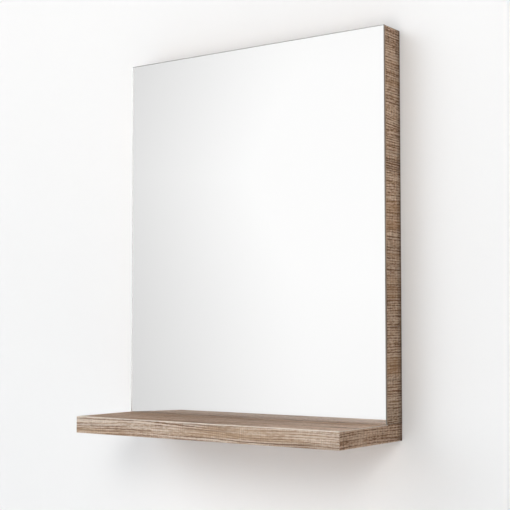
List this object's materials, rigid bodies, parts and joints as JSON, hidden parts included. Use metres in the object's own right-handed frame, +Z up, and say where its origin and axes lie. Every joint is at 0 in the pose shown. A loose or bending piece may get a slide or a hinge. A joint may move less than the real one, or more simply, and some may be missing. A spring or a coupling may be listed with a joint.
{
  "type": "wall mirror with shelf",
  "caption": "Rectangular frameless mirror on a wooden box frame with a thick full-width shelf below, hung on the wall by keyhole plates.",
  "frame": {"origin": "on the wall plane, midway between the entry holes of the two keyhole hanger plates", "axes": "+X to the right seen from the front, +Y into the wall, +Z up"},
  "size_m": [0.6, 0.22, 0.752],
  "materials": {
    "oak_board": "grey-brown oak decor on chipboard, satin",
    "oak_band": "edge band printed with the same oak decor, satin",
    "rail_softwood": "planed softwood, bare",
    "carrier_fibreboard": "brown fibreboard, bare",
    "foam_tape": "dark closed-cell foam, matte",
    "silvering": "silvered, polished",
    "float_glass": "clear float glass with ground edges",
    "zinc_steel": "zinc plated steel, satin",
    "cast_zinc": "die-cast zinc alloy, satin",
    "beech_dowel": "fluted beech, bare"
  },
  "bodies": {
    "root": {"side_panel_left": "oak_board", "side_panel_right": "oak_board", "top_panel": "oak_board", "bottom_panel": "oak_board", "hanging_rail": "rail_softwood", "lower_rail": "rail_softwood", "centre_stiffener": "rail_softwood", "carrier_board": "carrier_fibreboard", "side_front_bands": "oak_band", "side_rear_bands": "oak_band", "side_top_bands": "oak_band", "panel_rear_bands": "oak_band", "mounting_tape": "foam_tape", "mirror_silvering": "silvering", "mirror_glass": "float_glass", "shelf_board": "oak_board", "shelf_front_band": "oak_band", "shelf_left_band": "oak_band", "shelf_right_band": "oak_band", "shelf_rear_band": "oak_band", "hanger_plate_left": "zinc_steel", "hanger_plate_right": "zinc_steel", "hanger_screws": "zinc_steel", "corner_dowels": "beech_dowel", "cam_housings": "cast_zinc", "cam_bolts": "zinc_steel", "rail_dowels": "beech_dowel", "stiffener_screws": "zinc_steel", "carrier_screws": "zinc_steel", "shelf_dowels": "beech_dowel", "shelf_screws": "zinc_steel"}
  },
  "joints": []
}
